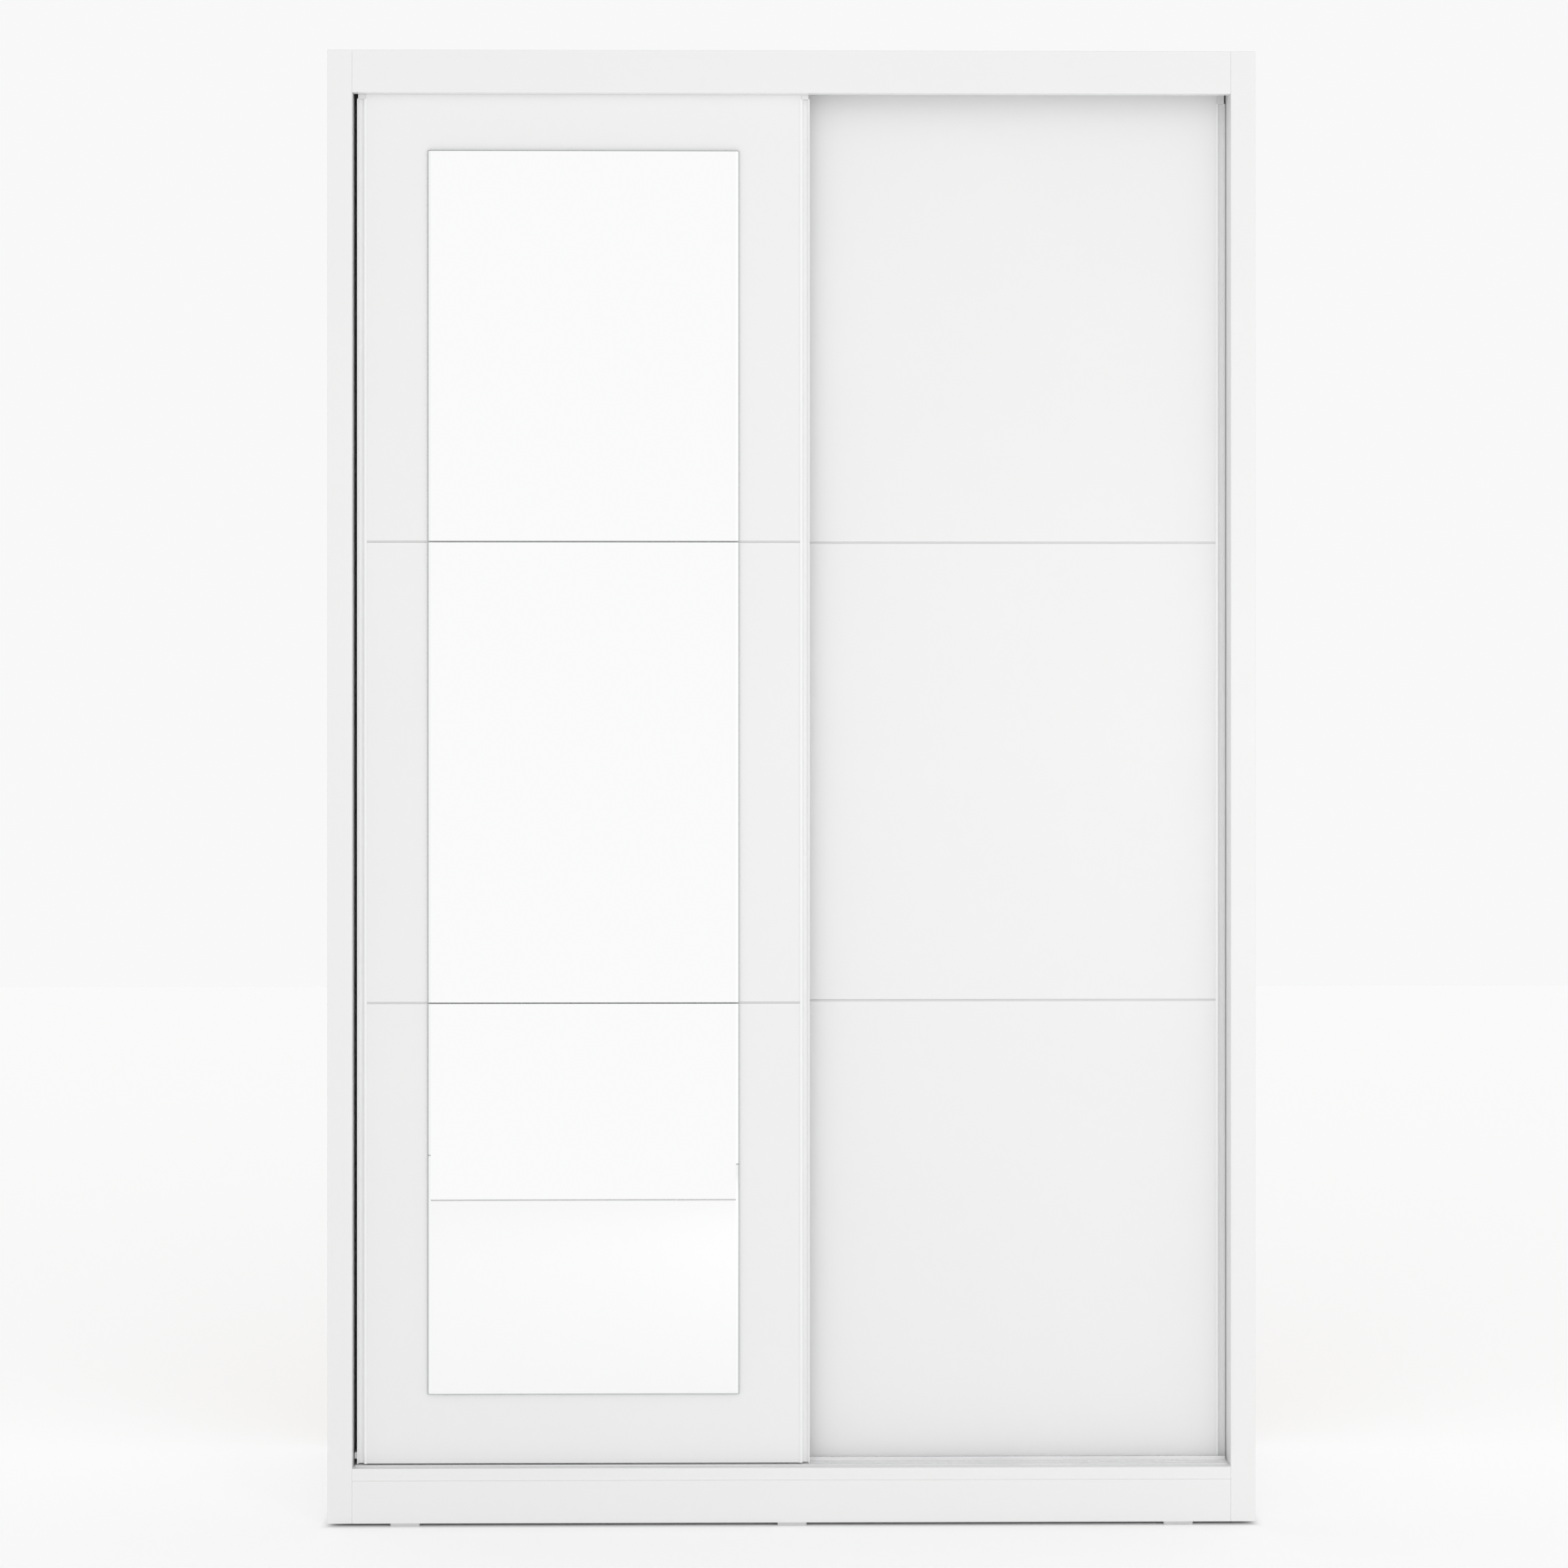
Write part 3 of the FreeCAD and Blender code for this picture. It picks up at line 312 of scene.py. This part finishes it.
def track_finish(name):
    """White lacquered track whose rail crowns are worn to bright metal."""
    shader = Shader(name, (0.86, 0.86, 0.87), 0.3)
    lines = shader.noise(700, 2, 0.5, (0.004, 1, 1))
    scuffs = shader.noise(40, 4, 0.7, (0.2, 1, 1))
    tone = shader.mix(shader.ramp(scuffs, 0.4, 0.75), (0.87, 0.87, 0.875), (0.80, 0.80, 0.81))
    rail_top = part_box("bottom_track")[1].z
    over_crown = shader.ramp(shader.along("Z"), rail_top - 0.9 * MM, rail_top - 0.2 * MM)
    not_top_track = shader.ramp(shader.along("Z"), rail_top + 10 * MM, rail_top + 20 * MM, 1.0, 0.0)
    crown = shader.math("MULTIPLY", over_crown, not_top_track)
    worn = shader.math("MULTIPLY", crown, shader.ramp(scuffs, 0.3, 0.5, 0.5, 1.0))
    shader.colour(shader.mix(worn, tone, (0.62, 0.62, 0.64)))
    shader.link(worn, shader.bsdf.inputs["Metallic"])
    shader.rough(scuffs, 0.22, 0.38)
    shader.bump(lines, 0.00002, 0.4)
    return shader.set(IOR=1.5).material


MATERIALS = {
    "carcass_melamine": melamine("white_melamine_carcass", 0.86),
    "frame_melamine": melamine("white_melamine_frame", 0.86),
    "door_melamine": melamine("white_melamine_door", 0.86),
    "hardboard": hardboard("hardboard"),
    "beech": beech("beech"),
    "mirror_glass": mirror_glass("silvered_glass"),
    "white_profile": lacquered_profile("white_lacquered_profile", 0.92),
    "joining_strip": lacquered_profile("white_joining_strip", 0.66, 0.35),
    "track_aluminium": track_finish("white_lacquered_track"),
    "zinc_steel": metal("zinc_plated_steel", 0.66, 0.34, spangle=0.16),
    "bright_steel": metal("bright_steel", 0.70, 0.26, brushed=True),
    "chrome": metal("chrome_plate", 0.86, 0.07),
    "nylon": plastic("natural_nylon", 0.78, 0.42),
    "white_plastic": plastic("white_plastic", 0.82, 0.4),
    "glide_plastic": plastic("grey_glide_plastic", 0.62, 0.5),
}


def dress_cad_nodes():
    """Gives every CAD node its material."""
    slots = {entry["node"]: entry["material_slot"] for entry in frame["record"]["subparts"]}
    for name, node in NODES.items():
        node.data.materials.clear()
        node.data.materials.append(MATERIALS[slots[name]])


# ---- Screw recesses ----------------------------------------------------------
SAME_POINT = 0.001 * MM             # mesh corners this near each other are one point
SAME_LEVEL = 0.01 * MM              # points this near the end of a screw lie on it


def islands(node):
    """Corner points of each separate solid of a CAD node, each as one list."""
    mesh = bmesh.new()
    mesh.from_mesh(NODES[node].data)
    bmesh.ops.remove_doubles(mesh, verts=mesh.verts, dist=SAME_POINT)
    seen = set()
    found = []
    for start in mesh.verts:                    # in stored order, so each run gives the same list
        if start in seen:
            continue
        seen.add(start)
        group = [start]
        for member in group:                    # the group grows while it is gone through
            for edge in member.link_edges:
                vertex = edge.other_vert(member)
                if vertex not in seen:
                    seen.add(vertex)
                    group.append(vertex)
        found.append([vertex.co.copy() for vertex in group])
    mesh.free()
    return found


def screw_heads(node):
    """Middle of each screw's head and the way it faces: the head is the wider end."""
    heads = []
    for points in islands(node):
        low = Vector([min(p[k] for p in points) for k in range(3)])
        high = Vector([max(p[k] for p in points) for k in range(3)])
        middle = (low + high) / 2
        axis = max(range(3), key=lambda k: high[k] - low[k])
        across = [k for k in range(3) if k != axis]
        spread = {}
        for end in (low, high):
            near = [p for p in points if abs(p[axis] - end[axis]) < SAME_LEVEL]
            spread[end[axis]] = max(math.hypot(*(p[k] - middle[k] for k in across)) for p in near)
        top = max(spread, key=spread.get)
        out = Vector((0, 0, 0))
        out[axis] = 1.0 if top > middle[axis] else -1.0
        middle[axis] = top
        heads.append((middle, out))
    return heads


CROSS_ARM = 1.7 * MM                # from the middle to the end of an arm
CROSS_HALF = 0.34 * MM              # half an arm's width
CROSS_PROUD = 0.02 * MM             # over the screw's head
CROSS_DEEP = 0.3 * MM
CROSS_TAPER = 0.8                   # size at its bottom


def cross_recess(mesh, middle, out):
    """A dark cross-shaped inlay, level with the screw's head: painted shade in place of the hollow of a cross
    recess.
    """
    turn = out.to_track_quat("Z", "Y")
    a, h = CROSS_ARM, CROSS_HALF
    quarter = [(h, h), (h, a), (-h, a)]
    outline = []
    for _ in range(4):
        outline += quarter
        quarter = [(-y, x) for x, y in quarter]
    bottom, top = ([mesh.verts.new(middle + turn @ Vector((x * scale, y * scale, level))) for x, y in outline]
                   for level, scale in ((-CROSS_DEEP, CROSS_TAPER), (CROSS_PROUD, 1.0)))
    count = len(outline)
    for k in range(count):
        mesh.faces.new((bottom[k], bottom[(k + 1) % count], top[(k + 1) % count], top[k]))
    mesh.faces.new(top)
    mesh.faces.new(list(reversed(bottom)))


def add_piece(name, mesh, material, body):
    bmesh.ops.recalc_face_normals(mesh, faces=mesh.faces)
    data = bpy.data.meshes.new(name)
    mesh.to_mesh(data)
    mesh.free()
    data.materials.append(material)
    piece = bpy.data.objects.new(name, data)
    bpy.context.scene.collection.objects.link(piece)
    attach(piece, body)
    return piece


def add_screw_recesses():
    # near-black metal: painted shade for the screws' cross recesses
    dark = metal("screw_recess", 0.12, 0.55)
    for node, body in (("fitting_screws", "carcass"), ("front_door_screws", "front_door"),
                       ("rear_door_screws", "rear_door")):
        mesh = bmesh.new()
        for middle, out in screw_heads(node):
            cross_recess(mesh, middle, out)
        add_piece(node + "_recesses", mesh, dark, body)


# ---- Studio ----------------------------------------------------------------
FLOOR_REACH = 7.0                   # from the middle to each side
FLOOR_BACK = 8.0
FLOOR_AHEAD = 3.0                   # from the doors to its near edge
FLOOR_BOW = 0.35                    # how far that edge falls back at its ends
FLOOR_STEPS = 48
FLOOR_LINE = 0.014                  # width of the grey line along that edge
FLOOR_GLOW = 0.29
GLOW_BLEND = 0.01                   # the glow fades out over this, either side of the wardrobe's outline
# Brightness of the surround by how far a direction turns to the front: (cosine, brightness).
SURROUND = ((-1.0, 0.94), (-0.2, 0.94), (0.1, 0.62), (0.5, 0.68), (0.75, 0.89), (0.88, 1.2), (0.95, 1.2),
            (0.98, 1.0), (1.0, 1.0))
SURROUND_SCALE = 2.0                # a ramp's colours end at 1, so it holds the brightness over this


def floor_material():
    """Pale floor with a little light of its own, but none under the wardrobe."""
    shader = Shader("studio_floor", (0.78, 0.78, 0.78), 0.85)
    shader.bump(shader.noise(30, 3, 0.5), 0.0002, 0.1)
    shader.set(Emission_Color=(1, 1, 1, 1))
    low, high = CAD_BOX
    under = shader.math("MINIMUM", *(
        shader.ramp(shader.off_centre(axis, (low[k] + high[k]) / 2), (high[k] - low[k]) / 2 - GLOW_BLEND,
                    (high[k] - low[k]) / 2 + GLOW_BLEND, 1.0, 0.0)
        for k, axis in enumerate("XY")))
    shader.link(shader.ramp(under, 0.0, 1.0, FLOOR_GLOW, 0.0), shader.bsdf.inputs["Emission Strength"])
    return shader.material


def add_stage():
    """A sheet of pale floor whose near edge is a slight curve with a thin grey line along it."""
    mesh = bmesh.new()
    middle = CAD_BOX[0].y - FLOOR_AHEAD
    across = [2 * k / FLOOR_STEPS - 1 for k in range(FLOOR_STEPS + 1)]
    edge, near = ([mesh.verts.new((FLOOR_REACH * x, middle + inset + FLOOR_BOW * x ** 2, 0)) for x in across]
                  for inset in (0, FLOOR_LINE))
    far = [mesh.verts.new((FLOOR_REACH * side, FLOOR_BACK, 0)) for side in (1, -1)]
    mesh.faces.new(near + far)
    for k in range(FLOOR_STEPS):
        mesh.faces.new((edge[k], edge[k + 1], near[k + 1], near[k])).material_index = 1
    data = bpy.data.meshes.new("studio_floor")
    mesh.to_mesh(data)
    mesh.free()
    floor = bpy.data.objects.new("studio_floor", data)
    bpy.context.scene.collection.objects.link(floor)
    floor.data.materials.append(floor_material())
    line = Shader("studio_floor_edge", (0.4, 0.4, 0.4), 0.8)
    floor.data.materials.append(line.bump(line.noise(200), 0.0002, 0.1).material)


def add_light(name, place, target, size, power):
    data = bpy.data.lights.new(name, "AREA")
    data.shape = "RECTANGLE"
    data.size, data.size_y = size
    data.energy = power
    light = bpy.data.objects.new(name, data)
    light.location = place
    light.rotation_euler = (Vector(target) - Vector(place)).to_track_quat("-Z", "Y").to_euler()
    bpy.context.scene.collection.objects.link(light)


def light_studio():
    """A white surround with a brighter ring in front, and one soft light in front on the right."""
    world = bpy.data.worlds.new("white_studio")
    bpy.context.scene.world = world
    world.use_nodes = True
    tree = world.node_tree
    background = tree.nodes["Background"]
    direction = tree.nodes.new("ShaderNodeTexCoord").outputs["Generated"]
    split = tree.nodes.new("ShaderNodeSeparateXYZ")
    tree.links.new(direction, split.inputs["Vector"])
    place = tree.nodes.new("ShaderNodeMapRange")
    place.inputs["From Min"].default_value = 1.0
    place.inputs["From Max"].default_value = -1.0
    tree.links.new(split.outputs["Y"], place.inputs["Value"])
    curve = tree.nodes.new("ShaderNodeValToRGB")
    curve.color_ramp.interpolation = "EASE"
    stops = curve.color_ramp.elements
    stops.remove(stops[1])
    for k, (cosine, level) in enumerate(SURROUND):
        stop = stops.new((cosine + 1) / 2) if k else stops[0]
        stop.color = (*[level / SURROUND_SCALE] * 3, 1)
    tree.links.new(place.outputs["Result"], curve.inputs["Fac"])
    tree.links.new(curve.outputs["Color"], background.inputs["Color"])
    background.inputs["Strength"].default_value = SURROUND_SCALE
    add_light("soft_right", (1.1, -3.2, 0.9), (0.4, 0, 0.8), (1.0, 1.2), 9)


scene = bpy.context.scene
scene.view_settings.view_transform = "Standard"
add_camera()
dress_cad_nodes()
add_screw_recesses()
add_stage()
light_studio()
